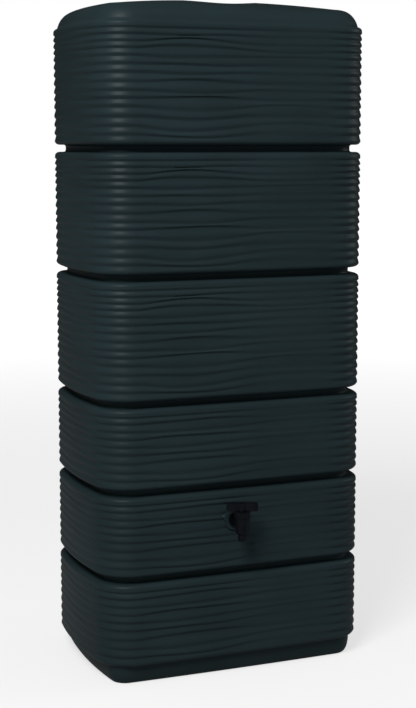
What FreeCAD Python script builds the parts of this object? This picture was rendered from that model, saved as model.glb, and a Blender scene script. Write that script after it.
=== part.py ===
import FreeCAD, Part
import Sketcher
import math
import os

# Slimline rainwater tank: a hollow one-piece plastic tank with a ribbed skin, a screw lid and a barrel tap.
# Millimetres, +Z up, front face towards -Y, origin on the floor under the middle of the tank.

SIZES = {
    # Tank outline, measured at the rib crests
    "overall_width": 790.0,
    "overall_depth": 500.0,
    "corner_radius": 97.0,
    "side_bow": 11.0,
    "front_bow": 3.5,
    "wall": 5.0,
    # Heights of the ribbed part and of the five belts that divide it
    "rib_base": 52.0,
    "edge_height": 1769.5,
    "roof_band": 44.5,
    "belt_first": 284.0,
    "belt_short_pitch": 232.5,
    "belt_tall_pitch": 328.0,
    "belt_gap": 19.0,
    "belt_depth": 30.0,
    "lip_across": 13.0,
    "lip_up": 12.0,
    # Ribs: depth of the valleys between them, and how far a valley swings up and down along the front
    "rib_depth": 3.5,
    "valley_swing": 13.0,
    # Roof and plinth
    "roof_inset": 7.3,
    "roof_round_across": 50.8,
    "roof_round_up": 60.0,
    "roof_corner_growth": 8.0,
    "crown_rise": 24.0,
    "crown_power": 1.8,
    "plinth_side_inset": 26.0,
    "plinth_front_inset": 19.0,
    "plinth_corner_radius": 52.0,
    "plinth_round_across": 17.0,
    "plinth_round_up": 45.0,
    # Filling neck in its well, screw lid and seal
    "well_radius": 135.0,
    "well_drop": 9.0,
    "neck_bore": 92.0,
    "neck_wall": 6.0,
    "neck_rise": 16.0,
    "seal_thickness": 1.5,
    "lid_plate": 4.0,
    "lid_skirt": 4.5,
    "lid_clearance": 0.5,
    "lid_floor_gap": 2.0,
    "lid_grip_depth": 3.0,
    "lid_grip_radius": 5.0,
    "lid_grips": 16,
    "lid_boss_radius": 60.0,
    "lid_boss_rise": 2.5,
    # Tap place, threaded insert and washer
    "tap_offset": -20.0,
    "tap_height": 430.0,
    "tap_reach": 47.0,
    "pad_radius": 30.0,
    "pad_proud": 0.5,
    "insert_radius": 17.0,
    "insert_collar_radius": 21.0,
    "insert_collar": 3.0,
    "insert_length": 26.0,
    "insert_boss_wall": 6.0,
    "insert_fit": 0.05,
    "thread_radius": 12.3,
    "thread_fit": 0.05,
    "spigot_length": 22.0,
    "washer_radius": 19.0,
    "washer_thickness": 2.5,
    # Tap body
    "flange_radius": 20.0,
    "flange_thickness": 4.0,
    "branch_radius": 12.0,
    "water_way": 8.0,
    "barrel_thread_radius": 18.0,
    "barrel_radius": 20.0,
    "barrel_foot_radius": 16.5,
    "barrel_top": 27.5,
    "barrel_foot": 32.0,
    "barrel_hem": 6.0,
    "spout_radius": 10.5,
    "spout_bore": 7.5,
    "spout_length": 15.0,
    "spout_lead": 2.0,
    # Tap plug, its rings and the gland nut
    "plug_radius": 13.0,
    "running_fit": 0.05,
    "plug_foot": 26.0,
    "plug_port": 7.5,
    "collar_radius": 15.5,
    "collar_thickness": 4.0,
    "collar_clearance": 0.4,
    "ring_section": 1.2,
    "ring_offset": 14.0,
    "stem_radius": 7.0,
    "stem_clearance": 0.4,
    "nut_radius": 22.0,
    "nut_foot_radius": 21.0,
    "nut_height": 16.0,
    "nut_roof": 3.5,
    "nut_foot_gap": 1.0,
    "nut_flutes": 12,
    "nut_flute_radius": 2.0,
    "nut_flute_depth": 1.4,
    # Handle and its screw
    "handle_gap": 0.8,
    "handle_height": 21.0,
    "handle_length": 83.0,
    "handle_thickness": 15.0,
    "handle_bevel": 4.0,
    "handle_hub_radius": 12.0,
    "handle_edge": 2.5,
    "handle_turn": -20.0,
    "stem_insertion": 12.0,
    "screw_radius": 2.0,
    "screw_length": 16.0,
    "screw_head_radius": 4.0,
    "screw_head_height": 2.6,
    "screw_seat": 6.0,
}

# Straight chords that stand for each stretch of the outline, as coarse as the ribs allow
CORNER_CHORDS = 4
SIDE_CHORDS = 3
FRONT_CHORDS = 6
BACK_CHORDS = 1

# Four corners that lie this close to one plane make one flat face
FLAT = 1e-6

# Uneven steps from one rib's crest to the next, from the top of a field down, as shares of one another
TALL_STEPS = (16, 18, 17, 16.5, 21, 22, 19.5, 27, 17, 21.5, 21, 30, 16.5, 26.5)
SHORT_STEPS = (16, 18, 22, 17, 21, 19, 27, 18, 24)

# How much of the full swing each valley has, from the top of a field down; above 0 it dips on the left
TALL_SWINGS = (0, 0, -0.6, -0.6, 0.3, 0, 0.15, -0.4, 0.45, -0.45, 0.75, 0.3, 1, 0.45)
SHORT_SWINGS = (0, -0.3, 0.4, -0.4, 0.45, 0.15, -0.45, 0.7, 0.4)

doc = FreeCAD.newDocument("slimline_water_tank")
sheet = doc.addObject("Spreadsheet::Sheet", "sizes")
for row, (alias, value) in enumerate(SIZES.items(), start=1):
    sheet.set("A%d" % row, alias)
    sheet.set("B%d" % row, str(value))
    sheet.setAlias("B%d" % row, alias)
doc.recompute()


def size(alias):
    return float(sheet.get(alias))


def evaluate(expression):
    """The value of an expression of the sheet's sizes, to draw a sketch with before it is bound."""
    return float(sheet.evalExpression(expression))


def named(expression):
    """Put the sheet's name before each alias in an expression."""
    out = ""
    word = ""
    for letter in expression + " ":
        if letter.isalnum() or letter == "_":
            word += letter
            continue
        out += ("sizes." + word if word in SIZES else word) + letter
        word = ""
    return out.strip()


# Outline of the tank at one height

def bowed_stretch(half_chord, out_to_corner, bow, radius, chords):
    """Points of one bowed side, as (along, outwards) pairs, and the turn at its ends."""
    bend = (half_chord ** 2 + bow ** 2) / (2 * bow)
    turn = math.asin(half_chord / bend)
    points = []
    for step in range(chords + 1):
        angle = turn * (2 * step / chords - 1)
        along = (bend + radius) * math.sin(angle)
        outwards = out_to_corner + bow - bend + (bend + radius) * math.cos(angle)
        points.append((along, outwards))
    return points, turn


def outline(half_width, half_depth, radius, core_radius):
    """The rounded rectangle with bowed sides; core_radius keeps offsets of one outline parallel."""
    side_bow = size("side_bow")
    front_bow = size("front_bow")
    across = half_width - core_radius - side_bow
    deep = half_depth - core_radius - front_bow
    front, front_turn = bowed_stretch(across, deep, front_bow, radius, FRONT_CHORDS)
    back, _ = bowed_stretch(across, deep, front_bow, radius, BACK_CHORDS)
    side, side_turn = bowed_stretch(deep, across, side_bow, radius, SIDE_CHORDS)

    def corner(centre_x, centre_y, first, last):
        steps = [first + (last - first) * step / CORNER_CHORDS for step in range(1, CORNER_CHORDS)]
        return [(centre_x + radius * math.cos(a), centre_y + radius * math.sin(a)) for a in steps]

    quarter = math.pi / 2
    points = [(along, -outwards) for along, outwards in front]
    points += corner(across, -deep, -quarter + front_turn, -side_turn)
    points += [(outwards, along) for along, outwards in side]
    points += corner(across, deep, side_turn, quarter - front_turn)
    points += [(-along, outwards) for along, outwards in back]
    points += corner(-across, deep, quarter + front_turn, 2 * quarter - side_turn)
    points += [(-outwards, -along) for along, outwards in side]
    points += corner(-across, -deep, 2 * quarter + side_turn, 3 * quarter - front_turn)
    return points


def crest_outline(inset=0.0):
    radius = size("corner_radius")
    return outline(size("overall_width") / 2, size("overall_depth") / 2, radius - inset, radius)


def plinth_outline(inset=0.0):
    radius = size("plinth_corner_radius")
    half_width = size("overall_width") / 2 - size("plinth_side_inset")
    half_depth = size("overall_depth") / 2 - size("plinth_front_inset")
    return outline(half_width, half_depth, radius - inset, radius)


def roof_outline(inset, shrink=1.0):
    radius = size("corner_radius") + size("roof_corner_growth")
    points = outline(size("overall_width") / 2, size("overall_depth") / 2, radius - inset, radius)
    return [(x * shrink, y * shrink) for x, y in points]


def ring(points, height):
    return [FreeCAD.Vector(x, y, height) for x, y in points]


def swung_ring(points, height, swing):
    """A ring whose front stretch dips on one side and rises on the other, level again at the corners."""
    reach = size("overall_width") / 2 - size("corner_radius")
    front = -size("overall_depth") / 2 + size("corner_radius")
    corners = ring(points, height)
    for corner in corners:
        if corner.y < front and abs(corner.x) < reach:
            corner.z += size("valley_swing") * swing * math.sin(math.pi * corner.x / reach)
    return corners


def facets(first, second, third, fourth):
    """One flat face through four corners, or two triangles where they don't lie in one plane."""
    normal = (second - first).cross(fourth - first).normalize()
    if abs((third - first).dot(normal)) < FLAT:
        outlines = [(first, second, third, fourth, first)]
    else:
        outlines = [(first, second, third, first), (first, third, fourth, first)]
    return [Part.Face(Part.makePolygon(corners)) for corners in outlines]


def skin(rings):
    """The solid through a stack of rings, closed by a flat face below and above."""
    faces = [Part.Face(Part.makePolygon(end + end[:1])) for end in (rings[0], rings[-1])]
    for low, high in zip(rings, rings[1:]):
        for step in range(len(low)):
            faces += facets(low[step - 1], low[step], high[step], high[step - 1])
    return Part.makeSolid(Part.makeShell(faces))


# Tank: outer form, one ring of points after another from the floor up

def belt_heights():
    first = size("belt_first")
    short = size("belt_short_pitch")
    tall = size("belt_tall_pitch")
    lower = [first, first + short, first + 2 * short]
    return lower + [lower[-1] + tall, lower[-1] + 2 * tall]


def rib_fields():
    """The ribbed fields between the belts, as (bottom, top, steps between crests, swings of the valleys)."""
    half_gap = size("belt_gap") / 2
    belts = belt_heights()
    bottoms = [size("rib_base")] + [z + half_gap for z in belts]
    tops = [z - half_gap for z in belts] + [size("edge_height") - size("roof_band")]
    patterns = [(SHORT_STEPS, SHORT_SWINGS)] * 3 + [(TALL_STEPS, TALL_SWINGS)] * 3
    return [(bottom, top, *pattern) for bottom, top, pattern in zip(bottoms, tops, patterns)]


def plinth_rings(steps=3):
    rings = []
    for step in range(steps + 1):
        angle = math.pi / 2 * step / steps
        inset = size("plinth_round_across") * (1 - math.sin(angle))
        rings.append(ring(plinth_outline(inset), size("plinth_round_up") * (1 - math.cos(angle))))
    rings.append(ring(plinth_outline(), size("rib_base")))
    return rings


def lip_ring(ledge, direction, angle):
    across = size("lip_across") * (1 - math.sin(angle))
    return ring(crest_outline(across), ledge + direction * size("lip_up") * (1 - math.cos(angle)))


def field_rings(bottom, top, steps, swings):
    """A ribbed field from the bottom up: a rounded lip, crests and valleys in turn, a rounded lip again."""
    last = bottom + size("lip_up")
    first = top - size("lip_up")
    unit = (first - last) / sum(steps)
    crest = crest_outline()
    valley = crest_outline(size("rib_depth"))
    rows = [swung_ring(crest, first, 0)]
    height = first
    crest_swings = [(upper + lower) / 2 for upper, lower in zip(swings, swings[1:])] + [0]
    for step, swing, crest_swing in zip(steps, swings, crest_swings):
        rows.append(swung_ring(valley, height - unit * step / 2, swing))
        height -= unit * step
        rows.append(swung_ring(crest, height, crest_swing))
    rings = [lip_ring(bottom, 1, 0), lip_ring(bottom, 1, math.pi / 4)]
    return rings + rows[::-1] + [lip_ring(top, -1, math.pi / 4), lip_ring(top, -1, 0)]


def crown_height(share):
    """Height of the roof at a share of the way from its middle to the top of its rounded edge."""
    return size("edge_height") + size("crown_rise") * (1 - share ** size("crown_power"))


def roof_rings(drop=0.0, inset=0.0, steps=4, shares=(0.85, 0.65, 0.4, 0.15)):
    """The rounded edge and the crown, lowered by drop and moved in by inset for the inside."""
    up = size("roof_round_up")
    across = size("roof_round_across")
    first = math.asin(1 - size("roof_band") / up)
    rings = []
    for step in range(steps + 1):
        angle = first + (math.pi / 2 - first) * step / steps
        edge = size("roof_inset") + across * (1 - math.cos(angle))
        height = size("edge_height") - up * (1 - math.sin(angle))
        rings.append(ring(roof_outline(edge + inset), height - drop))
    last = size("roof_inset") + across + inset
    rings += [ring(roof_outline(last, share), crown_height(share) - drop) for share in shares]
    return rings


def outer_rings():
    rings = plinth_rings()
    for index, field in enumerate(rib_fields()):
        bottom, top = field[:2]
        if index:
            rings.append(ring(crest_outline(size("belt_depth")), bottom))
        rings += field_rings(*field)
        if index < len(belt_heights()):
            rings.append(ring(crest_outline(size("belt_depth")), top))
    # The roof starts at the last field's own edge, so that field has no inner lip at its top
    return rings[:-1] + roof_rings()


# Tank: the inside follows the plinth, the belts and the roof, one wall further in, but not the ribs

def inner_rings():
    wall = size("wall")
    field = size("rib_depth") + wall
    waist = size("belt_depth") + wall
    reach = size("belt_gap") / 2 + wall
    rings = [ring(plinth_outline(size("plinth_round_across") + wall), wall)]
    rings.append(ring(plinth_outline(wall), size("plinth_round_up")))
    rings.append(ring(plinth_outline(wall), size("rib_base") + wall))
    rings.append(ring(crest_outline(field), size("rib_base") + wall))
    for belt in belt_heights():
        rings.append(ring(crest_outline(field), belt - reach))
        rings.append(ring(crest_outline(waist), belt - reach))
        rings.append(ring(crest_outline(waist), belt + reach))
        rings.append(ring(crest_outline(field), belt + reach))
    return rings + roof_rings(wall, wall, 2, (0.6, 0.15))


def add_shape(name, shape):
    feature = doc.addObject("Part::Feature", name)
    feature.Shape = shape
    return feature


TOWARDS_Y = FreeCAD.Placement(FreeCAD.Vector(), FreeCAD.Rotation(FreeCAD.Vector(1, 0, 0), -90))


def cylinder(name, radius, height, x="0", y="0", z="0", along_y=False):
    """A cylinder from (x, y, z) upwards, or towards +Y."""
    feature = doc.addObject("Part::Cylinder", name)
    if along_y:
        feature.Placement = TOWARDS_Y
    feature.setExpression("Radius", named(radius))
    feature.setExpression("Height", named(height))
    feature.setExpression("Placement.Base.x", named(x))
    feature.setExpression("Placement.Base.y", named(y))
    feature.setExpression("Placement.Base.z", named(z))
    return feature


def cut(name, base, tool):
    feature = doc.addObject("Part::Cut", name)
    feature.Base = base
    feature.Tool = tool
    feature.Refine = False
    return feature


def fuse(name, *shapes):
    feature = doc.addObject("Part::MultiFuse", name)
    feature.Shapes = list(shapes)
    feature.Refine = False
    return feature


def origin_plane(body, role):
    return next(item for item in body.Origin.OriginFeatures if item.Role == role)


def sketch_outline(body, name, role, points):
    """A closed outline on an origin plane; each point is a pair of expressions of the sheet's sizes."""
    sketch = body.newObject("Sketcher::SketchObject", name)
    sketch.AttachmentSupport = [(origin_plane(body, role), "")]
    sketch.MapMode = "FlatFace"
    places = [FreeCAD.Vector(evaluate(x), evaluate(y), 0) for x, y in points]
    count = len(places)
    for index in range(count):
        sketch.addGeometry(Part.LineSegment(places[index], places[(index + 1) % count]), False)
    for index in range(count):
        sketch.addConstraint(Sketcher.Constraint("Coincident", index, 2, (index + 1) % count, 1))
    for index, (x, y) in enumerate(points):
        for kind, expression in (("DistanceX", x), ("DistanceY", y)):
            place = sketch.addConstraint(Sketcher.Constraint(kind, -1, 1, index, 1, evaluate(expression)))
            sketch.setExpression("Constraints[%d]" % place, named(expression))
    return sketch


def turned_body(name, points, role="XZ_Plane"):
    """A piece turned about its upright axis from an outline of (radius, height) pairs."""
    body = doc.addObject("PartDesign::Body", name)
    sketch = sketch_outline(body, name + "_section", role, points)
    turn = body.newObject("PartDesign::Revolution", name + "_turned")
    turn.Profile = sketch
    turn.ReferenceAxis = (sketch, ["V_Axis"])
    turn.Angle = 360
    doc.recompute()
    return body


def place(feature, x="0", y="0", z="0", turn="0"):
    feature.setExpression("Placement.Rotation.Angle", named(turn))
    feature.setExpression("Placement.Base.x", named(x))
    feature.setExpression("Placement.Base.y", named(y))
    feature.setExpression("Placement.Base.z", named(z))
    return feature


# Places that several pieces share
FACE = "(-overall_depth / 2 - pad_proud)"
TAP_Y = "(-overall_depth / 2 - tap_reach)"
WELL_FLOOR = "(edge_height - well_drop)"
NECK_TOP = "(edge_height - well_drop + neck_rise)"
BARREL_TOP = "(tap_height + barrel_top)"
BARREL_FOOT = "(tap_height - barrel_foot)"


def build_tank():
    shell = add_shape("tank_outside", skin(outer_rings()))
    pad = cylinder("tap_pad", "pad_radius", "wall + pad_proud", "tap_offset", FACE, "tap_height", True)
    shell = fuse("tank_with_pad", shell, pad)
    room = add_shape("tank_inside", skin(inner_rings()))
    jacket = cylinder("well_jacket", "well_radius + wall", "crown_rise + well_drop + 3 * wall",
                      z=WELL_FLOOR + " - wall")
    boss = cylinder("insert_boss", "insert_radius + insert_boss_wall", "insert_length + pad_proud",
                    "tap_offset", FACE, "tap_height", True)
    room = cut("tank_room", cut("tank_room_below_well", room, jacket), boss)
    well = cylinder("lid_well", "well_radius", "crown_rise + well_drop + wall", z=WELL_FLOOR)
    neck = cylinder("neck_outside", "neck_bore + neck_wall", "neck_rise", z=WELL_FLOOR)
    bore = cylinder("neck_hole", "neck_bore", "neck_rise + 3 * wall", z=WELL_FLOOR + " - 2 * wall")
    socket = cylinder("insert_socket", "insert_radius + insert_fit", "2 * insert_length",
                      "tap_offset", FACE + " - insert_length / 2", "tap_height", True)
    hollows = fuse("tank_hollows", room, cut("well_round_neck", well, neck), bore, socket)
    return cut("tank_body", shell, hollows)


# Screw lid: a turned cap with a raised middle and grip notches round its skirt, on a flat seal

LID_UNDER = "(edge_height - well_drop + neck_rise + seal_thickness)"
LID_BORE = "(neck_bore + neck_wall + lid_clearance)"
LID_RIM = "(neck_bore + neck_wall + lid_clearance + lid_skirt)"
LID_FOOT = "(edge_height - well_drop + lid_floor_gap)"


def build_lid():
    lid = turned_body("lid", [
        ("0", "0"),
        (LID_BORE, "0"),
        (LID_BORE, LID_FOOT + " - " + LID_UNDER),
        (LID_RIM, LID_FOOT + " - " + LID_UNDER),
        (LID_RIM, "lid_plate - lid_skirt / 3"),
        (LID_RIM + " - lid_skirt / 3", "lid_plate"),
        ("lid_boss_radius + lid_boss_rise", "lid_plate"),
        ("lid_boss_radius", "lid_plate + lid_boss_rise"),
        ("0", "lid_plate + lid_boss_rise"),
    ])
    place(lid, z=LID_UNDER)
    notch_sketch = lid.newObject("Sketcher::SketchObject", "lid_notch_outline")
    notch_sketch.AttachmentSupport = [(origin_plane(lid, "XY_Plane"), "")]
    notch_sketch.MapMode = "FlatFace"
    centre = evaluate(LID_RIM) + size("lid_grip_radius") - size("lid_grip_depth")
    notch_sketch.addGeometry(Part.Circle(FreeCAD.Vector(centre, 0, 0), FreeCAD.Vector(0, 0, 1),
                                         size("lid_grip_radius")), False)
    round_size = notch_sketch.addConstraint(Sketcher.Constraint("Radius", 0, size("lid_grip_radius")))
    notch_sketch.setExpression("Constraints[%d]" % round_size, named("lid_grip_radius"))
    across = notch_sketch.addConstraint(Sketcher.Constraint("DistanceX", -1, 1, 0, 3, centre))
    notch_sketch.setExpression("Constraints[%d]" % across,
                               named(LID_RIM + " + lid_grip_radius - lid_grip_depth"))
    notch_sketch.addConstraint(Sketcher.Constraint("PointOnObject", 0, 3, -1))
    notch = lid.newObject("PartDesign::Pocket", "lid_notch")
    notch.Profile = notch_sketch
    notch.Type = "ThroughAll"
    notch.Midplane = True
    doc.recompute()
    grips = lid.newObject("PartDesign::PolarPattern", "lid_grips_round")
    grips.Originals = [notch]
    grips.Axis = (notch_sketch, ["N_Axis"])
    grips.Angle = 360
    grips.setExpression("Occurrences", named("lid_grips"))
    lid.Tip = grips
    seal = turned_body("lid_seal", [
        ("neck_bore + lid_clearance", "0"),
        ("neck_bore + neck_wall - lid_clearance", "0"),
        ("neck_bore + neck_wall - lid_clearance", "seal_thickness"),
        ("neck_bore + lid_clearance", "seal_thickness"),
    ])
    place(seal, z=NECK_TOP)
    return [lid, seal]


# Tap seat: a brass insert moulded into the wall, and the washer under the tap's flange

def build_tap_seat():
    sleeve = cylinder("insert_sleeve", "insert_radius", "insert_length + pad_proud", "tap_offset", FACE,
                      "tap_height", True)
    collar = cylinder("insert_end_collar", "insert_collar_radius", "insert_collar", "tap_offset",
                      FACE + " + insert_length + pad_proud", "tap_height", True)
    hole = cylinder("insert_thread_hole", "thread_radius", "2 * insert_length", "tap_offset",
                    FACE + " - insert_length / 2", "tap_height", True)
    insert = cut("tap_insert", fuse("insert_solid", sleeve, collar), hole)
    disc = cylinder("washer_disc", "washer_radius", "washer_thickness", "tap_offset",
                    FACE + " - washer_thickness", "tap_height", True)
    eye = cylinder("washer_eye", "thread_radius", "3 * washer_thickness", "tap_offset",
                   FACE + " - 2 * washer_thickness", "tap_height", True)
    return [insert, cut("tap_washer", disc, eye)]


# Tap body: level branch with flange and spigot, upright tapered barrel, spout

SHOULDER = "(barrel_top + collar_clearance + nut_roof - nut_height - nut_foot_gap)"
FLANGE_Y = "(-overall_depth / 2 - pad_proud - washer_thickness - flange_thickness)"
PLUG_BORE = "(plug_radius + running_fit)"


def build_tap_body():
    barrel = turned_body("tap_barrel", [
        ("0", "-barrel_foot - spout_length - spout_lead"),
        ("spout_radius - spout_lead", "-barrel_foot - spout_length - spout_lead"),
        ("spout_radius", "-barrel_foot - spout_length"),
        ("spout_radius", "-barrel_foot"),
        ("barrel_foot_radius", "-barrel_foot + barrel_hem"),
        ("barrel_radius", SHOULDER),
        ("barrel_thread_radius", SHOULDER),
        ("barrel_thread_radius", "barrel_top"),
        ("0", "barrel_top"),
    ])
    place(barrel, "tap_offset", TAP_Y, "tap_height")
    branch = cylinder("tap_branch", "branch_radius", "tap_reach - pad_proud - washer_thickness",
                      "tap_offset", TAP_Y, "tap_height", True)
    flange = cylinder("tap_flange", "flange_radius", "flange_thickness", "tap_offset", FLANGE_Y,
                      "tap_height", True)
    spigot = cylinder("tap_spigot", "thread_radius - thread_fit", "spigot_length + washer_thickness",
                      "tap_offset", FACE + " - washer_thickness", "tap_height", True)
    solid = fuse("tap_solid", barrel, branch, flange, spigot)
    way = cylinder("tap_way", "water_way", "tap_reach + spigot_length", "tap_offset", TAP_Y,
                   "tap_height", True)
    bore = cylinder("tap_plug_bore", PLUG_BORE, "barrel_top + plug_foot", "tap_offset", TAP_Y,
                    "tap_height - plug_foot")
    collar_seat = cylinder("tap_collar_seat", "collar_radius + collar_clearance",
                           "collar_thickness + collar_clearance", "tap_offset", TAP_Y,
                           BARREL_TOP + " - collar_thickness")
    drain = cylinder("tap_drain", "spout_bore", "barrel_foot + spout_length + 2 * spout_lead",
                     "tap_offset", TAP_Y, BARREL_FOOT + " - spout_length - 2 * spout_lead")
    return cut("tap_body", solid, fuse("tap_ways", way, bore, collar_seat, drain))


# Tap plug: a hollow turned plug with a side port, two ring grooves, a collar and a stem

PLUG_BASE = "(tap_height - plug_foot + collar_clearance)"
COLLAR_BASE = "(barrel_top - collar_thickness + plug_foot - collar_clearance)"
COLLAR_TOP = "(barrel_top + plug_foot - collar_clearance)"
STEM_TOP = "(barrel_top + plug_foot - collar_clearance + nut_roof + handle_gap + stem_insertion)"
PORT_HEIGHT = "(plug_foot - collar_clearance)"
RING_HEIGHTS = {"lower": "(plug_foot - ring_offset)", "upper": "(plug_foot + ring_offset - ring_section)"}


def build_tap_plug():
    groove_half = "(ring_section + running_fit)"
    groove_floor = "(plug_radius - 2 * ring_section - running_fit)"
    points = [("spout_bore", "0"), ("plug_radius", "0")]
    for height in RING_HEIGHTS.values():
        points += [
            ("plug_radius", height + " - " + groove_half),
            (groove_floor, height + " - " + groove_half),
            (groove_floor, height + " + " + groove_half),
            ("plug_radius", height + " + " + groove_half),
        ]
    points += [
        ("plug_radius", COLLAR_BASE),
        ("collar_radius", COLLAR_BASE),
        ("collar_radius", COLLAR_TOP),
        ("stem_radius", COLLAR_TOP),
        ("stem_radius", STEM_TOP),
        ("screw_radius", STEM_TOP),
        ("screw_radius", STEM_TOP + " - screw_length"),
        ("0", STEM_TOP + " - screw_length"),
        ("0", PORT_HEIGHT + " + plug_port + ring_section"),
        ("spout_bore", PORT_HEIGHT + " + plug_port"),
    ]
    plug = turned_body("tap_plug", points)
    place(plug, "tap_offset", TAP_Y, PLUG_BASE, "handle_turn")
    port_sketch = plug.newObject("Sketcher::SketchObject", "plug_port_outline")
    port_sketch.AttachmentSupport = [(origin_plane(plug, "XZ_Plane"), "")]
    port_sketch.MapMode = "FlatFace"
    port_sketch.addGeometry(Part.Circle(FreeCAD.Vector(0, evaluate(PORT_HEIGHT), 0),
                                        FreeCAD.Vector(0, 0, 1), size("plug_port")), False)
    across = port_sketch.addConstraint(Sketcher.Constraint("Radius", 0, size("plug_port")))
    port_sketch.setExpression("Constraints[%d]" % across, named("plug_port"))
    up = port_sketch.addConstraint(Sketcher.Constraint("DistanceY", -1, 1, 0, 3, evaluate(PORT_HEIGHT)))
    port_sketch.setExpression("Constraints[%d]" % up, named(PORT_HEIGHT))
    port_sketch.addConstraint(Sketcher.Constraint("PointOnObject", 0, 3, -2))
    port = plug.newObject("PartDesign::Pocket", "plug_port_hole")
    port.Profile = port_sketch
    port.Type = "Length"
    port.setExpression("Length", named("2 * plug_radius"))
    port.Reversed = False
    doc.recompute()
    pieces = [plug]
    for side, height in RING_HEIGHTS.items():
        seal = doc.addObject("Part::Torus", "plug_ring_" + side)
        seal.setExpression("Radius1", named("plug_radius - ring_section"))
        seal.setExpression("Radius2", named("ring_section"))
        place(seal, "tap_offset", TAP_Y, PLUG_BASE + " + " + height)
        pieces.append(seal)
    return pieces


# Gland nut: a slightly tapered cap with grip flutes that holds the plug down in the barrel

NUT_BASE = "(tap_height + barrel_top + collar_clearance + nut_roof - nut_height)"
FLUTE_CIRCLE = "(nut_radius + nut_flute_radius - nut_flute_depth)"


def build_gland_nut():
    cap = doc.addObject("Part::Cone", "gland_cap")
    cap.setExpression("Radius1", named("nut_foot_radius"))
    cap.setExpression("Radius2", named("nut_radius"))
    cap.setExpression("Height", named("nut_height"))
    place(cap, "tap_offset", TAP_Y, NUT_BASE)
    thread = cylinder("gland_thread", "barrel_thread_radius + thread_fit", "nut_height - nut_roof",
                      "tap_offset", TAP_Y, NUT_BASE)
    eye = cylinder("gland_eye", "stem_radius + stem_clearance", "2 * nut_height", "tap_offset", TAP_Y,
                   NUT_BASE)
    count = int(size("nut_flutes"))
    flutes = []
    for step in range(count):
        turn = "(360 * %d / nut_flutes)" % step
        flutes.append(cylinder("gland_flute_%d" % step, "nut_flute_radius", "nut_height",
                               "tap_offset + %s * cos(%s)" % (FLUTE_CIRCLE, turn),
                               "%s + %s * sin(%s)" % (TAP_Y, FLUTE_CIRCLE, turn), NUT_BASE))
    return cut("tap_gland_nut", cap, fuse("gland_hollows", thread, eye, *flutes))


# Handle: a bar over a round hub, fixed to the stem by a screw from above, turned as the photo shows it

HANDLE_BASE = "(tap_height + barrel_top + collar_clearance + nut_roof + handle_gap)"


def build_handle():
    bar_body = doc.addObject("PartDesign::Body", "handle_bar_body")
    half = "(handle_length / 2)"
    outline_sketch = sketch_outline(bar_body, "handle_outline", "XZ_Plane", [
        ("-" + half + " + handle_bevel", "0"),
        (half + " - handle_bevel", "0"),
        (half, "handle_bevel"),
        (half, "handle_height - handle_edge"),
        (half + " - handle_edge", "handle_height"),
        ("-" + half + " + handle_edge", "handle_height"),
        ("-" + half, "handle_height - handle_edge"),
        ("-" + half, "handle_bevel"),
    ])
    bar = bar_body.newObject("PartDesign::Pad", "handle_bar")
    bar.Profile = outline_sketch
    bar.Midplane = True
    bar.setExpression("Length", named("handle_thickness"))
    doc.recompute()
    place(bar_body, "tap_offset", TAP_Y, HANDLE_BASE, "handle_turn")
    hub = cylinder("handle_hub", "handle_hub_radius", "handle_height", "tap_offset", TAP_Y, HANDLE_BASE)
    stem_hole = cylinder("handle_stem_hole", "stem_radius", "stem_insertion", "tap_offset", TAP_Y,
                         HANDLE_BASE)
    screw_way = cylinder("handle_screw_way", "screw_radius", "handle_height", "tap_offset", TAP_Y,
                         HANDLE_BASE)
    head_seat = cylinder("handle_head_seat", "screw_head_radius + stem_clearance", "handle_height",
                         "tap_offset", TAP_Y, HANDLE_BASE + " + handle_height - screw_seat")
    handle = cut("tap_handle", fuse("handle_solid", bar_body, hub),
                 fuse("handle_hollows", stem_hole, screw_way, head_seat))
    shank = cylinder("screw_shank", "screw_radius",
                     "handle_height - screw_seat - stem_insertion + screw_length",
                     "tap_offset", TAP_Y, HANDLE_BASE + " + stem_insertion - screw_length")
    head = cylinder("screw_head", "screw_head_radius", "screw_head_height", "tap_offset", TAP_Y,
                    HANDLE_BASE + " + handle_height - screw_seat")
    return [handle, fuse("handle_screw", shank, head)]


def check_document():
    for item in doc.Objects:
        if "Invalid" in item.State or "Error" in item.State:
            raise RuntimeError(item.Name + " did not build: " + str(item.State))


def write_parts(pieces):
    os.makedirs("parts", exist_ok=True)
    for piece in pieces:
        shape = piece.Shape
        if shape.isNull() or not shape.isValid() or not shape.Solids:
            raise RuntimeError(piece.Label + " has no valid solid")
    for piece in pieces:
        piece.Shape.exportStep("parts/" + piece.Label + ".step")


pieces = [build_tank()]
pieces += build_lid()
pieces += build_tap_seat()
pieces.append(build_tap_body())
pieces += build_tap_plug()
pieces.append(build_gland_nut())
pieces += build_handle()
doc.recompute()
check_document()
write_parts(pieces)
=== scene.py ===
import math

import bpy
import numpy as np
from bpy.props import FloatProperty, FloatVectorProperty, IntProperty, PointerProperty
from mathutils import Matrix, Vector


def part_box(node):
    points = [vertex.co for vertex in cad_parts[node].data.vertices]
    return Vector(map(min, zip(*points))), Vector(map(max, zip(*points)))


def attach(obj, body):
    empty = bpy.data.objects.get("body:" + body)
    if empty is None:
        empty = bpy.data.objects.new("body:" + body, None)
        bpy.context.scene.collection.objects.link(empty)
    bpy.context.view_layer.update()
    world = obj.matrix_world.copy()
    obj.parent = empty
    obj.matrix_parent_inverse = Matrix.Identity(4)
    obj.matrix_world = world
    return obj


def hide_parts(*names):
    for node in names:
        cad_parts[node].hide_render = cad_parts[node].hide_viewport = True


bl_info = {
    "name": "Slimline Water Tank",
    "version": (1, 0, 0),
    "blender": (4, 5, 0),
    "location": "3D View > Sidebar > Water Tank",
    "description": "Builds the moulded tank, its screw lid and its barrel tap around the packed model",
    "category": "Object",
}

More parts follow.
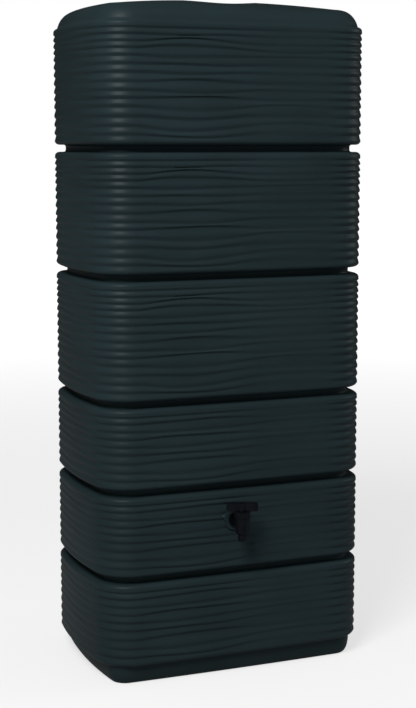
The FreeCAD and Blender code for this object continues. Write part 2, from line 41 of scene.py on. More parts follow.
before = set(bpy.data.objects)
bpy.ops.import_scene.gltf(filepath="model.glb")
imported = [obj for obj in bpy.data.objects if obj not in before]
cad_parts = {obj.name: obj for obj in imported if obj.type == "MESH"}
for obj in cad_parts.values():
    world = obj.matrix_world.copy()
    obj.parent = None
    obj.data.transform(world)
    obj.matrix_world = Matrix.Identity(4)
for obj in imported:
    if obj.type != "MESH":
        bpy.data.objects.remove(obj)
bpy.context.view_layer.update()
TANK_LOW, TANK_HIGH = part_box("tank_body")
INSERT_LOW, INSERT_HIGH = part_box("tap_insert")

# Uneven steps from one rib's crest to the next, from the top of a field down, as shares of one another
TALL_STEPS = (16, 18, 17, 16.5, 21, 22, 19.5, 27, 17, 21.5, 21, 30, 16.5, 26.5)
SHORT_STEPS = (16, 18, 22, 17, 21, 19, 27, 18, 24)

# How much of the full swing each valley has, from the top of a field down; above 0 it dips on the left
TALL_SWINGS = (0, 0, -0.6, -0.6, 0.3, 0, 0.15, -0.4, 0.45, -0.45, 0.75, 0.3, 1, 0.45)
SHORT_SWINGS = (0, -0.3, 0.4, -0.4, 0.45, 0.15, -0.45, 0.7, 0.4)

# Valleys on the front: power that keeps their ends level, and share and turn of a second, shorter wave
LEVEL_ENDS = 8
SECOND_WAVE = 0.12
SECOND_TURN = 2.4

# From here along the front to the right, the valleys swing by this share less
WEAK_START = 0.6
WEAK_SHARE = 0.5

# Turn of the valleys' wave on the narrow sides, from one valley to the next
SIDE_TURN = 1.9

# Shares of the ribs' depth: round the corners, on the calm right of the front, in the middle of the sides
CORNER_RELIEF = 1.2
CALM_RELIEF = 0.4
SIDE_RELIEF = 0.7

# Where the calm part starts and ends, from left to right along the front
CALM_START = 0.55
CALM_END = 0.965

# How softly the front changes at such a place, and how softly at its right end
SOFT_CHANGE = 0.06
QUICK_CHANGE = 0.012

# Form of a rib from one valley to the next: how far its crest hangs down, and how full it is
CREST_HANG = 1.8
CREST_FULLNESS = 0.75

# Rounding in the corners of a belt's recess, as a share of half its opening
BELT_ROUNDING = 0.6

# How much closer the crown's rows stand near the roof's edge
CROWN_CROWDING = 1.3

# Small rounding of edges that the construction model leaves sharp
SOFT_EDGE = 0.002

# Edges of the skin that bend more than this are drawn sharp
SHARP_BEND = math.radians(85)

# Half the width of the floor, and where its colour starts and ends to turn white
FLOOR_REACH = 40.0
FLOOR_NEAR = 1.2
FLOOR_FAR = 9.0

# Long side of the camera's sensor, in millimetres
SENSOR = 36.0

WHITE = (1, 1, 1, 1)
BLACK = (0, 0, 0, 1)


# Settings that a user may change

class TankShape(bpy.types.PropertyGroup):
    """Sizes of the moulded tank, the same as in the construction model."""

    corner_radius: FloatProperty(
        name="Corner radius", description="Radius of the upright corners", default=0.097, unit="LENGTH")
    side_bow: FloatProperty(
        name="Side bow", description="How far the narrow sides bulge", default=0.011, unit="LENGTH")
    front_bow: FloatProperty(
        name="Front bow", description="How far the wide sides bulge", default=0.0035, unit="LENGTH")
    wall: FloatProperty(
        name="Wall", description="Thickness of the moulded wall", default=0.005, unit="LENGTH")
    rib_base: FloatProperty(
        name="Rib base", description="Height where the ribbed part starts", default=0.052, unit="LENGTH")
    edge_height: FloatProperty(
        name="Edge height", description="Height of the roof's edge", default=1.7695, unit="LENGTH")
    roof_band: FloatProperty(
        name="Roof band", description="Height of the smooth band above the ribs", default=0.0445,
        unit="LENGTH")
    belt_first: FloatProperty(
        name="First belt", description="Height of the lowest belt", default=0.284, unit="LENGTH")
    belt_short_pitch: FloatProperty(
        name="Short pitch", description="Distance between the lower belts", default=0.2325, unit="LENGTH")
    belt_tall_pitch: FloatProperty(
        name="Tall pitch", description="Distance between the upper belts", default=0.328, unit="LENGTH")
    belt_gap: FloatProperty(
        name="Belt gap", description="Height of a belt's opening", default=0.019, unit="LENGTH")
    belt_depth: FloatProperty(
        name="Belt depth", description="Depth of a belt below the crests", default=0.030, unit="LENGTH")
    lip_across: FloatProperty(
        name="Lip across", description="Width of the rounded lips of a belt", default=0.013, unit="LENGTH")
    lip_up: FloatProperty(
        name="Lip up", description="Height of the rounded lips of a belt", default=0.012, unit="LENGTH")
    rib_depth: FloatProperty(
        name="Rib depth", description="Depth of the valleys between ribs", default=0.0035, unit="LENGTH")
    swing: FloatProperty(
        name="Swing", description="How far the valleys swing on the front", default=0.0145, unit="LENGTH")
    side_swing: FloatProperty(
        name="Side swing", description="How far they swing on the sides", default=0.004, unit="LENGTH")
    roof_inset: FloatProperty(
        name="Roof inset", description="Step from the crests in to the roof", default=0.0073, unit="LENGTH")
    roof_across: FloatProperty(
        name="Roof rounding across", description="Width of the roof's rounding", default=0.0508,
        unit="LENGTH")
    roof_up: FloatProperty(
        name="Roof rounding up", description="Height of the roof's rounding", default=0.060, unit="LENGTH")
    roof_growth: FloatProperty(
        name="Roof corner growth", description="Larger corners of the roof", default=0.008, unit="LENGTH")
    crown_rise: FloatProperty(
        name="Crown rise", description="Rise of the roof to its middle", default=0.024, unit="LENGTH")
    crown_power: FloatProperty(
        name="Crown power", description="Shape of the crown", default=1.8)
    plinth_side: FloatProperty(
        name="Plinth side inset", description="Plinth inset at the sides", default=0.026, unit="LENGTH")
    plinth_front: FloatProperty(
        name="Plinth front inset", description="Plinth inset at the front", default=0.019, unit="LENGTH")
    plinth_radius: FloatProperty(
        name="Plinth radius", description="Corner radius of the plinth", default=0.052, unit="LENGTH")
    plinth_across: FloatProperty(
        name="Plinth rounding across", description="Width of its rounding", default=0.017, unit="LENGTH")
    plinth_up: FloatProperty(
        name="Plinth rounding up", description="Height of its rounding", default=0.045, unit="LENGTH")
    well_radius: FloatProperty(
        name="Well radius", description="Radius of the well round the neck", default=0.135, unit="LENGTH")
    well_drop: FloatProperty(
        name="Well drop", description="Well floor below the roof's edge", default=0.009, unit="LENGTH")
    neck_bore: FloatProperty(
        name="Neck bore", description="Inner radius of the filling neck", default=0.092, unit="LENGTH")
    neck_wall: FloatProperty(
        name="Neck wall", description="Wall of the filling neck", default=0.006, unit="LENGTH")
    neck_rise: FloatProperty(
        name="Neck rise", description="Height of the neck above its well", default=0.016, unit="LENGTH")
    pad_radius: FloatProperty(
        name="Pad radius", description="Radius of the flat pad behind the tap", default=0.030, unit="LENGTH")
    boss_radius: FloatProperty(
        name="Boss radius", description="Radius of the boss round the insert", default=0.023, unit="LENGTH")
    insert_radius: FloatProperty(
        name="Insert radius", description="Radius of the hole for the insert", default=0.01705,
        unit="LENGTH")
    insert_collar: FloatProperty(
        name="Insert collar", description="Collar of the insert behind its boss", default=0.003,
        unit="LENGTH")


class TankMesh(bpy.types.PropertyGroup):
    """How finely the tank's skin is divided."""

    corner_columns: IntProperty(name="Corner columns", description="Columns round a corner", default=11)
    side_columns: IntProperty(name="Side columns", description="Columns along a side", default=18)
    front_columns: IntProperty(name="Front columns", description="Columns along the front", default=60)
    back_columns: IntProperty(name="Back columns", description="Columns along the back", default=20)
    rib_rows: IntProperty(name="Rib rows", description="Rows from one valley to the next", default=6)


class Finishes(bpy.types.PropertyGroup):
    """Colours of the object's finishes."""

    skin: FloatVectorProperty(
        name="Tank skin", description="Anthracite plastic", subtype="COLOR", size=3,
        default=(0.0205, 0.0365, 0.0410), min=0, max=1)
    tap: FloatVectorProperty(
        name="Tap", description="Black plastic", subtype="COLOR", size=3, default=(0.0048, 0.0060, 0.0088),
        min=0, max=1)
    rubber: FloatVectorProperty(
        name="Rubber", description="Seals and washers", subtype="COLOR", size=3,
        default=(0.012, 0.012, 0.012), min=0, max=1)
    brass: FloatVectorProperty(
        name="Brass", description="Threaded insert", subtype="COLOR", size=3, default=(0.62, 0.42, 0.17),
        min=0, max=1)
    steel: FloatVectorProperty(
        name="Steel", description="Handle screw", subtype="COLOR", size=3, default=(0.55, 0.55, 0.56),
        min=0, max=1)


class Studio(bpy.types.PropertyGroup):
    """Camera and light, at the photograph's angle."""

    camera_place: FloatVectorProperty(
        name="Camera place", description="Where the camera stands", subtype="XYZ", unit="LENGTH", size=3,
        default=(-1.55225, -3.8135, 1.42443))
    yaw: FloatProperty(
        name="Yaw", description="Turn of the camera to the right of +Y", subtype="ANGLE",
        default=math.radians(22.2))
    pitch: FloatProperty(
        name="Pitch", description="Tilt of the camera below level", subtype="ANGLE",
        default=math.radians(8.1))
    focal_pixels: FloatProperty(
        name="Focal length", description="In pixels of the photograph", default=1495.93, subtype="PIXEL")
    photo_height: FloatProperty(
        name="Photo height", description="In pixels", default=708.0, subtype="PIXEL")
    world_light: FloatProperty(name="World light", description="Strength of the even light", default=0.22)
    mirror_share: FloatProperty(
        name="Mirror share", description="How much of the white background a glossy surface shows",
        default=0.035, min=0, max=1, subtype="FACTOR")
    floor_glow: FloatProperty(
        name="Floor glow", description="How much of the floor's white comes from its colour near the tank",
        default=0.66, min=0, max=1, subtype="FACTOR")
    floor_colour: FloatVectorProperty(
        name="Floor colour", description="Pale floor", subtype="COLOR", size=3, default=(0.42, 0.42, 0.42),
        min=0, max=1)
    key_power: FloatProperty(
        name="Key light", description="Soft light high on the left", default=178.0, unit="POWER")
    rim_power: FloatProperty(
        name="Rim light", description="Soft light on the right", default=25.0, unit="POWER")


def settings():
    scene = bpy.context.scene
    return scene.tank_shape, scene.tank_mesh, scene.tank_finishes, scene.tank_studio


# Shader expressions

class Wire:
    """A socket of a shader, with arithmetic that adds the nodes it needs."""

    def __init__(self, graph, socket):
        self.graph = graph
        self.socket = socket

    def math(self, operation, *values):
        return self.graph.node("ShaderNodeMath", {"operation": operation}, [self, *values])

    def __add__(self, other):
        return self.math("ADD", other)

    def __radd__(self, other):
        return self.math("ADD", other)

    def __mul__(self, other):
        return self.math("MULTIPLY", other)

    def __rmul__(self, other):
        return self.math("MULTIPLY", other)

    def between(self, low, high):
        """0 below low, 1 above high, smooth in between."""
        return self.graph.node("ShaderNodeMapRange", {"interpolation_type": "SMOOTHSTEP"},
                               {"Value": self, "From Min": low, "From Max": high})

    def beside(self, name):
        """Another output of the same node."""
        return Wire(self.graph, self.socket.node.outputs[name])

    def feed(self, socket):
        self.graph.tree.links.new(self.socket, socket)


class Graph:
    """The node tree of one material or of the world."""

    def __init__(self, tree):
        self.tree = tree

    def node(self, kind, node_settings=None, inputs=(), output=0):
        """Adds a node of any kind; inputs go by order or by name, as numbers, tuples or wires."""
        node = self.tree.nodes.new(kind)
        for name, value in (node_settings or {}).items():
            setattr(node, name, value)
        pairs = inputs.items() if isinstance(inputs, dict) else enumerate(inputs)
        for key, value in pairs:
            if isinstance(value, Wire):
                value.feed(node.inputs[key])
            else:
                node.inputs[key].default_value = value
        return Wire(self, node.outputs[output])

    def mix(self, share, first, second):
        """First colour at share 0, second at share 1; a Mix node's colour sockets go by number."""
        return self.node("ShaderNodeMix", {"data_type": "RGBA"}, {0: share, 6: first, 7: second}, 2)

    def place(self):
        return self.node("ShaderNodeTexCoord", output="Object")

    def stretched(self, place, scale):
        return self.node("ShaderNodeMapping", None, {"Vector": place, "Scale": scale})

    def noise(self, place, scale, detail):
        return self.node("ShaderNodeTexNoise", None, {"Vector": place, "Scale": scale, "Detail": detail})


def opaque(colour, gain=1.0):
    return (colour[0] * gain, colour[1] * gain, colour[2] * gain, 1.0)


def new_material(name, roughness, specular, metallic=0.0):
    material = bpy.data.materials.new(name)
    material.use_nodes = True
    shader = material.node_tree.nodes["Principled BSDF"]
    shader.inputs["Roughness"].default_value = roughness
    shader.inputs["Specular IOR Level"].default_value = specular
    shader.inputs["Metallic"].default_value = metallic
    return material, Graph(material.node_tree), shader


def finish_material(graph, shader, colour, roughness, height, strength, distance):
    """Joins a colour, a roughness and a bump height to the shader."""
    bump = graph.node("ShaderNodeBump", None, {"Strength": strength, "Distance": distance, "Height": height})
    colour.feed(shader.inputs["Base Color"])
    roughness.feed(shader.inputs["Roughness"])
    bump.feed(shader.inputs["Normal"])


def tank_plastic(name, colour, roughness=0.42):
    """Satin moulded plastic: cloudy tone, faint level streaks, fine moulded grain."""
    material, graph, shader = new_material(name, roughness, specular=0.11)
    place = graph.place()
    clouds = graph.noise(place, scale=3.5, detail=4.0)
    streaks = graph.noise(graph.stretched(place, (3.0, 3.0, 60.0)), scale=1.0, detail=3.0)
    grain = graph.noise(place, scale=900.0, detail=2.0)
    tone = (clouds * 0.6 + streaks * 0.4).between(0.3, 0.7)
    colours = graph.mix(tone, opaque(colour, gain=0.86), opaque(colour, gain=1.14))
    rough = roughness - 0.05 + clouds * 0.06 + grain * 0.05
    height = grain * 0.5 + streaks * 0.5
    finish_material(graph, shader, colours, rough, height, strength=0.12, distance=0.0006)
    return material


def black_plastic(name, colour, roughness=0.38):
    """Black injection-moulded plastic with a light spark-eroded grain."""
    material, graph, shader = new_material(name, roughness, specular=0.12)
    place = graph.place()
    clouds = graph.noise(place, scale=40.0, detail=3.0)
    grain = graph.noise(place, scale=2600.0, detail=2.0)
    tone = clouds.between(0.35, 0.65)
    colours = graph.mix(tone, opaque(colour, gain=0.8), opaque(colour, gain=1.3))
    rough = roughness - 0.04 + grain * 0.1
    finish_material(graph, shader, colours, rough, grain, strength=0.15, distance=0.0003)
    return material


def rubber(name, colour):
    """Matt rubber with dust in its pores."""
    material, graph, shader = new_material(name, roughness=0.75, specular=0.3)
    place = graph.place()
    dust = graph.noise(place, scale=120.0, detail=4.0)
    grain = graph.noise(place, scale=3000.0, detail=2.0)
    colours = graph.mix(dust.between(0.4, 0.8), opaque(colour), opaque(colour, gain=2.2))
    finish_material(graph, shader, colours, 0.7 + dust * 0.15, grain, strength=0.2, distance=0.0002)
    return material


def turned_metal(name, colour, roughness):
    """Metal with fine turning marks round its axis and a slightly dulled skin."""
    material, graph, shader = new_material(name, roughness, specular=0.5, metallic=1.0)
    place = graph.place()
    marks = graph.noise(graph.stretched(place, (40.0, 4000.0, 4000.0)), scale=1.0, detail=2.0)
    dull = graph.noise(place, scale=90.0, detail=4.0)
    colours = graph.mix(dull.between(0.35, 0.75), opaque(colour), opaque(colour, gain=0.55))
    finish_material(graph, shader, colours, roughness + dull * 0.2, marks, strength=0.1, distance=0.0001)
    return material


# Outline of the tank

def bowed_stretch(half_chord, to_corner, bow, radius, columns):
    """One bowed side: places along it, its distance from the middle, and how far its ends turn."""
    bend = (half_chord ** 2 + bow ** 2) / (2 * bow)
    turn = math.asin(half_chord / bend)
    angle = turn * np.linspace(-1, 1, columns + 1)
    return (bend + radius) * np.sin(angle), to_corner + bow - bend + (bend + radius) * np.cos(angle), turn


def outline(half_width, half_depth, radius, core_radius):
    """Points of the rounded rectangle with bowed sides, anticlockwise from the front's left end."""
    shape, grid, _, _ = settings()
    across = half_width - core_radius - shape.side_bow
    deep = half_depth - core_radius - shape.front_bow
    front_x, front_y, front_turn = bowed_stretch(across, deep, shape.front_bow, radius, grid.front_columns)
    back_x, back_y, _ = bowed_stretch(across, deep, shape.front_bow, radius, grid.back_columns)
    side_y, side_x, side_turn = bowed_stretch(deep, across, shape.side_bow, radius, grid.side_columns)
    steps = np.arange(1, grid.corner_columns) / grid.corner_columns

    def corner(x, y, first, last):
        angle = first + (last - first) * steps
        return x + radius * np.cos(angle), y + radius * np.sin(angle)

    quarter = math.pi / 2
    stretches = [
        (front_x, -front_y),
        corner(across, -deep, -quarter + front_turn, -side_turn),
        (side_x, side_y),
        corner(across, deep, side_turn, quarter - front_turn),
        (-back_x, back_y),
        corner(-across, deep, quarter + front_turn, 2 * quarter - side_turn),
        (-side_x, -side_y),
        corner(-across, -deep, 2 * quarter + side_turn, 3 * quarter - front_turn),
    ]
    return np.concatenate([np.stack(stretch, 1) for stretch in stretches])


class Plan:
    """The tank's outlines at any height, and where each column lies along the front and the sides."""

    def __init__(self):
        shape, grid, _, _ = settings()
        self.shape = shape
        self.half_width = (TANK_HIGH.x - TANK_LOW.x) / 2
        self.half_depth = TANK_HIGH.y
        front = grid.front_columns + 1
        side = grid.side_columns + 1
        right = front + grid.corner_columns - 1
        left = right + side + grid.back_columns + 1 + 2 * (grid.corner_columns - 1)
        count = left + side + grid.corner_columns - 1
        self.front_share = np.full(count, -1.0)
        self.front_share[:front] = np.linspace(0, 1, front)
        self.side_share = np.full(count, -1.0)
        self.side_share[right:right + side] = np.linspace(0, 1, side)
        self.side_share[left:left + side] = np.linspace(1, 0, side)

    def crest(self, inset=0.0):
        radius = self.shape.corner_radius
        return outline(self.half_width, self.half_depth, radius - inset, radius)

    def plinth(self, inset=0.0):
        radius = self.shape.plinth_radius
        return outline(self.half_width - self.shape.plinth_side, self.half_depth - self.shape.plinth_front,
                       radius - inset, radius)

    def roof(self, inset, shrink=1.0):
        radius = self.shape.corner_radius + self.shape.roof_growth
        return outline(self.half_width, self.half_depth, radius - inset, radius) * shrink

    def circle(self, radius):
        points = self.crest()
        angle = np.arctan2(points[:, 1], points[:, 0])
        return np.stack([radius * np.cos(angle), radius * np.sin(angle)], 1)


def ring(points, height):
    return np.column_stack([points, np.broadcast_to(height, len(points))])


# The tank's skin, ring after ring

def rise(values, middle, width):
    """0 well below the middle and 1 well above it, with a soft change about the given width."""
    return 1 / (1 + np.exp(-(values - middle) / width))


def swing_of(plan, order, share):
    """How far a valley leaves its level on the front and on the sides, column by column."""
    shape = plan.shape
    lift = np.zeros(len(plan.front_share))
    front = plan.front_share >= 0
    t = plan.front_share[front]
    level_ends = 1 - (2 * t - 1) ** LEVEL_ENDS
    second = SECOND_WAVE * np.sin(4 * np.pi * t + SECOND_TURN * order) * min(order, 1)
    wave = -share * np.sin(2 * np.pi * t) + second
    weaker = 1 - WEAK_SHARE * rise(t, WEAK_START, SOFT_CHANGE)
    lift[front] = shape.swing * wave * level_ends * weaker
    side = plan.side_share >= 0
    t = plan.side_share[side]
    wave = np.sin(2 * np.pi * t + SIDE_TURN * order) * np.sin(np.pi * t)
    lift[side] = shape.side_swing * wave
    return lift


def relief_of(plan):
    """Depth of the ribs, column by column: deep round the corners, calmer on the right of the front."""
    depth = np.full(len(plan.front_share), CORNER_RELIEF)
    front = plan.front_share >= 0
    t = plan.front_share[front]
    calm = rise(t, CALM_START, SOFT_CHANGE) * rise(-t, -CALM_END, QUICK_CHANGE)
    depth[front] = CORNER_RELIEF - (CORNER_RELIEF - CALM_RELIEF) * calm
    side = plan.side_share >= 0
    t = plan.side_share[side]
    depth[side] = CORNER_RELIEF - (CORNER_RELIEF - SIDE_RELIEF) * np.sin(np.pi * t) ** 0.5
    return depth


def field_rows(plan, bottom, top, steps, swings, rows):
    """Rings of one ribbed field from its lower lip to its upper lip."""
    shape = plan.shape
    lips = np.radians(np.linspace(0, 90, 7))
    lip_in = shape.lip_across * (1 - np.sin(lips))
    lip_up = shape.lip_up * (1 - np.cos(lips))
    first = bottom + shape.lip_up
    last = top - shape.lip_up
    shares = np.cumsum(steps) / np.sum(steps)
    crests = last - (last - first) * np.concatenate([[0.0], shares])
    lines = [np.full(len(plan.front_share), crests[0])]
    for order, share in enumerate(swings):
        middle = (crests[order] + crests[order + 1]) / 2
        lines.append(middle + swing_of(plan, order, share))
    lines.append(np.full(len(plan.front_share), crests[-1]))
    depth = shape.rib_depth * relief_of(plan)
    found = []
    for order in range(len(lines) - 1):
        start = 0.5 if order == 0 else 0.0
        end = 0.5 if order == len(lines) - 2 else 1.0
        count = max(3, int(round(rows * (end - start))))
        for place in start + (end - start) * np.arange(count + 1) / count:
            if found and place == start:
                continue
            share = (place - start) / (end - start)
            height = lines[order] * (1 - share) + lines[order + 1] * share
            inset = depth * (1 - abs(math.sin(math.pi * place ** CREST_HANG)) ** CREST_FULLNESS)
            found.append((height, inset))
    base = plan.crest()
    step = 0.01
    inward = (plan.crest(step) - base) / step
    rings = [ring(plan.crest(i), bottom + u) for i, u in zip(lip_in[:-1], lip_up[:-1])]
    for height, inset in reversed(found):
        rings.append(np.column_stack([base + inward * inset[:, None], height]))
    rings += [ring(plan.crest(i), top - u) for i, u in zip(lip_in[:-1][::-1], lip_up[:-1][::-1])]
    return rings


def belt_heights(shape):
    lower = [shape.belt_first + shape.belt_short_pitch * step for step in range(3)]
    return lower + [lower[-1] + shape.belt_tall_pitch, lower[-1] + 2 * shape.belt_tall_pitch]


def belt_rows(plan, height):
    """The recess between two fields: its corners are rounded a little, as moulded ones are."""
    shape = plan.shape
    half = shape.belt_gap / 2
    rounding = half * BELT_ROUNDING
    turns = np.radians(np.linspace(0, 90, 4))
    rings = []
    for turn in turns:
        inset = shape.belt_depth - rounding * (1 - math.sin(turn))
        rings.append(ring(plan.crest(inset), height - half + rounding * (1 - math.cos(turn))))
    for turn in turns[::-1]:
        inset = shape.belt_depth - rounding * (1 - math.sin(turn))
        rings.append(ring(plan.crest(inset), height + half - rounding * (1 - math.cos(turn))))
    return rings


def crown_height(shape, share):
    return shape.edge_height + shape.crown_rise * (1 - share ** shape.crown_power)


def roof_rows(plan, drop=0.0, inset=0.0, steps=12):
    """The roof's rounded edge, from the ribs up to where the crown starts."""
    shape = plan.shape
    first = math.asin(1 - shape.roof_band / shape.roof_up)
    rings = []
    for angle in np.linspace(first, math.pi / 2, steps + 1):
        edge = shape.roof_inset + shape.roof_across * (1 - math.cos(angle)) + inset
        height = shape.edge_height - shape.roof_up * (1 - math.sin(angle)) - drop
        rings.append(ring(plan.roof(edge), height))
    return rings


def crown_rows(plan, rim, drop=0.0, inset=0.0, steps=8):
    """The crown, from the roof's edge in to a round rim."""
    shape = plan.shape
    edge = plan.roof(shape.roof_inset + shape.roof_across + inset)
    circle = plan.circle(rim)
    rings = []
    for share in np.linspace(0, 1, steps + 1)[1:]:
        blend = share ** CROWN_CROWDING
        points = edge * (1 - blend) + circle * blend
        reach = np.linalg.norm(points, axis=1) / np.linalg.norm(edge, axis=1)
        rings.append(np.column_stack([points, crown_height(shape, reach) - drop]))
    return rings


def well_rows(plan):
    """From the well's rim down, over the neck and down its bore."""
    shape = plan.shape
    floor = shape.edge_height - shape.well_drop
    top = floor + shape.neck_rise
    outer = shape.neck_bore + shape.neck_wall
    soft = SOFT_EDGE
    corners = [
        (shape.well_radius, floor + soft), (shape.well_radius - soft, floor), (outer + soft, floor),
        (outer, floor + soft), (outer, top - soft), (outer - soft, top), (shape.neck_bore + soft, top),
        (shape.neck_bore, top - soft), (shape.neck_bore, floor - shape.wall),
    ]
    return [ring(plan.circle(radius), height) for radius, height in corners]


def inside_rows(plan):
    """The inner face, from under the neck down to the floor."""
    shape = plan.shape
    wall = shape.wall
    field = shape.rib_depth + wall
    waist = shape.belt_depth + wall
    reach = shape.belt_gap / 2 + wall
    under = shape.edge_height - shape.well_drop - wall
    rings = [ring(plan.circle(shape.well_radius + wall), under)]
    rings.append(ring(plan.circle(shape.well_radius + wall), under + wall))
    rings += crown_rows(plan, shape.well_radius + 2 * wall, drop=wall, inset=wall, steps=4)[::-1][1:]
    rings += roof_rows(plan, drop=wall, inset=wall, steps=4)[::-1]
    for belt in reversed(belt_heights(shape)):
        rings.append(ring(plan.crest(field), belt + reach + wall))
        rings.append(ring(plan.crest(waist), belt + reach))
        rings.append(ring(plan.crest(waist), belt - reach))
        rings.append(ring(plan.crest(field), belt - reach - wall))
    rings.append(ring(plan.crest(field), shape.rib_base + wall))
    rings.append(ring(plan.plinth(wall), shape.rib_base + wall))
    rings.append(ring(plan.plinth(wall), shape.plinth_up))
    rings.append(ring(plan.plinth(shape.plinth_across + wall), wall))
    return rings


def plinth_rows(plan):
    shape = plan.shape
    rings = []
    for angle in np.radians(np.linspace(0, 90, 9)):
        inset = shape.plinth_across * (1 - math.sin(angle))
        rings.append(ring(plan.plinth(inset), shape.plinth_up * (1 - math.cos(angle))))
    rings.append(ring(plan.plinth(), shape.rib_base - SOFT_EDGE))
    rings.append(ring(plan.plinth(-SOFT_EDGE), shape.rib_base))
    return rings


def skin_from_rings(name, rings):
    """A closed mesh from rings with the same number of points, with a fan over each end."""
    columns = len(rings[0])
    places = np.concatenate(rings + [rings[0].mean(0)[None], rings[-1].mean(0)[None]])
    first_pole = len(rings) * columns
    faces = []
    turn = [(c, (c + 1) % columns) for c in range(columns)]
    for row in range(len(rings) - 1):
        low = row * columns
        faces += [(low + a, low + b, low + columns + b, low + columns + a) for a, b in turn]
    last = (len(rings) - 1) * columns
    faces += [(first_pole, b, a) for a, b in turn]
    faces += [(first_pole + 1, last + a, last + b) for a, b in turn]
    return mesh_piece(name, places.tolist(), faces)


def mesh_piece(name, places, faces):
    mesh = bpy.data.meshes.new(name)
    mesh.from_pydata(places, [], faces)
    mesh.validate()
    mesh.update()
    mesh.shade_smooth()
    piece = bpy.data.objects.new(name, mesh)
    bpy.context.scene.collection.objects.link(piece)
    return piece


def tank_rings():
    plan = Plan()
    shape, grid, _, _ = settings()
    half = shape.belt_gap / 2
    belts = belt_heights(shape)
    bottoms = [shape.rib_base] + [belt + half for belt in belts]
    tops = [belt - half for belt in belts] + [shape.edge_height - shape.roof_band]
    rings = plinth_rows(plan)
    patterns = [(SHORT_STEPS, SHORT_SWINGS)] * 3 + [(TALL_STEPS, TALL_SWINGS)] * 3
    for index, (bottom, top, pattern) in enumerate(zip(bottoms, tops, patterns)):
        if index:
            rings += belt_rows(plan, belts[index - 1])
        rings += field_rows(plan, bottom, top, *pattern, grid.rib_rows)
    # The roof starts at the last field's own edge, part of the way round that field's top lip
    rings = rings[:-2] + roof_rows(plan)
    rings += crown_rows(plan, shape.well_radius + SOFT_EDGE)
    rings += well_rows(plan)
    return rings + inside_rows(plan)


def disc_tool(name, radius, low, high, segments=64):
    """A plain closed cylinder along Y at the tap, used only to cut or join."""
    centre = (INSERT_LOW + INSERT_HIGH) / 2
    places = []
    for y in (low, high):
        for step in range(segments):
            angle = 2 * math.pi * step / segments
            places.append((centre.x + radius * math.cos(angle), y, centre.z + radius * math.sin(angle)))
    faces = [tuple(range(segments)), tuple(reversed(range(segments, 2 * segments)))]
    faces += [(s, s + segments, (s + 1) % segments + segments, (s + 1) % segments) for s in range(segments)]
    return mesh_piece(name, places, faces)


def carve(piece, tool, operation):
    """Cuts or joins with a tool, for good, and removes the tool."""
    modifier = piece.modifiers.new(operation.lower(), "BOOLEAN")
    modifier.operation = operation
    modifier.solver = "EXACT"
    modifier.object = tool
    graph = bpy.context.evaluated_depsgraph_get()
    mesh = bpy.data.meshes.new_from_object(piece.evaluated_get(graph))
    piece.modifiers.clear()
    piece.data = mesh
    bpy.data.objects.remove(tool)


def dress(piece, body, slot, *nodes):
    """Puts a piece on its body, in place of nodes of the frame."""
    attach(piece, body)
    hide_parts(*nodes)


def paint(piece, material):
    piece.data.materials.clear()
    piece.data.materials.append(material)


class TANK_OT_skin(bpy.types.Operator):
    """Builds the one-piece moulded tank with its ribs, belts, roof, neck and inside"""

    bl_idname = "tank.skin"
    bl_label = "Tank skin"

    def execute(self, context):
        shape, _, finishes, _ = settings()
        skin = skin_from_rings("tank_skin", tank_rings())
        face = INSERT_LOW.y
        end = INSERT_HIGH.y - shape.insert_collar
        carve(skin, disc_tool("pad", shape.pad_radius, face, face + 2 * shape.wall), "UNION")
        carve(skin, disc_tool("boss", shape.boss_radius, face + shape.wall, end), "UNION")
        carve(skin, disc_tool("hole", shape.insert_radius, face - shape.wall, end + shape.wall), "DIFFERENCE")
        skin.data.shade_smooth()
        skin.data.set_sharp_from_angle(angle=SHARP_BEND)
        paint(skin, tank_plastic("anthracite_plastic", finishes.skin))
        dress(skin, "tank", "tank_skin", "tank_body")
        return {"FINISHED"}


class TANK_OT_fittings(bpy.types.Operator):
    """Gives the lid, the tap and their small pieces their finishes"""

    bl_idname = "tank.fittings"
    bl_label = "Fittings"

    def execute(self, context):
        _, _, finishes, _ = settings()
        black = black_plastic("tap_plastic", finishes.tap)
        seal = rubber("seal_rubber", finishes.rubber)
        coats = {
            "lid": tank_plastic("lid_plastic", finishes.skin, roughness=0.45),
            "lid_seal": seal, "tap_washer": seal, "plug_ring_lower": seal, "plug_ring_upper": seal,
            "tap_insert": turned_metal("insert_brass", finishes.brass, roughness=0.28),
            "handle_screw": turned_metal("screw_steel", finishes.steel, roughness=0.3),
            "tap_body": black, "tap_plug": black, "tap_gland_nut": black, "tap_handle": black,
        }
        for node, material in coats.items():
            paint(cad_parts[node], material)
        return {"FINISHED"}


# Camera, floor and light

def area_light(name, place, target, side, power):
    """A square soft light that looks at a target."""
    lamp = bpy.data.lights.new(name, "AREA")
    lamp.size = side
    lamp.energy = power
    holder = bpy.data.objects.new(name, lamp)
    holder.location = place
    holder.rotation_mode = "QUATERNION"
    holder.rotation_quaternion = (Vector(target) - Vector(place)).to_track_quat("-Z", "Y")
    bpy.context.scene.collection.objects.link(holder)


def seen_rays(graph, mirror_share, light=0.0):
    """1 to the camera or through glass, a share of it in a reflection, and the given strength as light."""
    camera = graph.node("ShaderNodeLightPath", output="Is Camera Ray")
    direct = (camera + camera.beside("Is Transmission Ray")).math("MINIMUM", 1.0)
    return direct * (1 - light) + camera.beside("Is Glossy Ray") * (mirror_share - light) + light


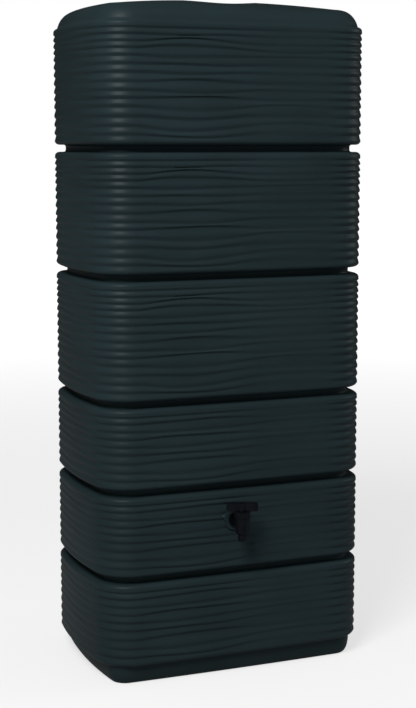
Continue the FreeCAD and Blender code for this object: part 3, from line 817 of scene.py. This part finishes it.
class TANK_OT_stage(bpy.types.Operator):
    """Makes the pale floor, the soft light and the camera at the photograph's angle"""

    bl_idname = "tank.stage"
    bl_label = "Stage"

    def execute(self, context):
        _, _, _, studio = settings()
        self.camera(studio)
        reach = FLOOR_REACH
        corners = [(-reach, -reach, 0), (reach, -reach, 0), (reach, reach, 0), (-reach, reach, 0)]
        floor = mesh_piece("floor", corners, [(0, 1, 2, 3)])
        paint(floor, self.floor_material(studio))
        self.world(studio)
        area_light("key", place=(-2.7, -2.9, 4.6), target=(0, -0.2, 0.9), side=1.9, power=studio.key_power)
        area_light("rim", place=(4.3, -0.6, 2.4), target=(0, 0, 1.0), side=1.6, power=studio.rim_power)
        context.scene.view_settings.view_transform = "Standard"
        return {"FINISHED"}

    def camera(self, studio):
        lens = bpy.data.cameras.new("camera")
        lens.sensor_width = SENSOR
        lens.lens = studio.focal_pixels / studio.photo_height * SENSOR
        camera = bpy.data.objects.new("camera", lens)
        camera.location = studio.camera_place
        camera.rotation_mode = "QUATERNION"
        ahead = Vector((math.sin(studio.yaw) * math.cos(studio.pitch),
                        math.cos(studio.yaw) * math.cos(studio.pitch), -math.sin(studio.pitch)))
        camera.rotation_quaternion = ahead.to_track_quat("-Z", "Y")
        bpy.context.scene.collection.objects.link(camera)
        bpy.context.scene.camera = camera

    def floor_material(self, studio):
        """Pale floor that keeps the tank's shadow and turns white far away."""
        material, graph, shader = new_material("pale_floor", roughness=0.9, specular=0.1)
        shader.inputs["Base Color"].default_value = opaque(studio.floor_colour)
        shader.inputs["Emission Strength"].default_value = 1.0
        distance = graph.node("ShaderNodeVectorMath", {"operation": "LENGTH"}, [graph.place()], "Value")
        share = distance.between(FLOOR_NEAR, FLOOR_FAR) * (1 - studio.floor_glow) + studio.floor_glow
        white = graph.mix(share * seen_rays(graph, studio.mirror_share), BLACK, WHITE)
        white.feed(shader.inputs["Emission Color"])
        return material

    def world(self, studio):
        """White to the camera, and even light of its own strength on everything else."""
        world = bpy.data.worlds.new("even_light")
        world.use_nodes = True
        background = world.node_tree.nodes["Background"]
        background.inputs["Color"].default_value = WHITE
        share = seen_rays(Graph(world.node_tree), studio.mirror_share, studio.world_light)
        share.feed(background.inputs["Strength"])
        bpy.context.scene.world = world


class TANK_PT_panel(bpy.types.Panel):
    """Lists the steps that build the tank"""

    bl_idname = "TANK_PT_panel"
    bl_label = "Water Tank"
    bl_space_type = "VIEW_3D"
    bl_region_type = "UI"
    bl_category = "Water Tank"

    def draw(self, context):
        for step in STEPS:
            self.layout.operator(step.bl_idname)


STEPS = (TANK_OT_skin, TANK_OT_fittings, TANK_OT_stage)
GROUPS = {"tank_shape": TankShape, "tank_mesh": TankMesh, "tank_finishes": Finishes, "tank_studio": Studio}


def register():
    for group in GROUPS.values():
        bpy.utils.register_class(group)
    for name, group in GROUPS.items():
        setattr(bpy.types.Scene, name, PointerProperty(type=group))
    for item in (*STEPS, TANK_PT_panel):
        bpy.utils.register_class(item)


def unregister():
    for item in (TANK_PT_panel, *reversed(STEPS)):
        bpy.utils.unregister_class(item)
    for name in GROUPS:
        delattr(bpy.types.Scene, name)
    for group in reversed(GROUPS.values()):
        bpy.utils.unregister_class(group)


def main():
    register()
    bpy.ops.tank.skin()
    bpy.ops.tank.fittings()
    bpy.ops.tank.stage()


if __name__ == "__main__":
    main()
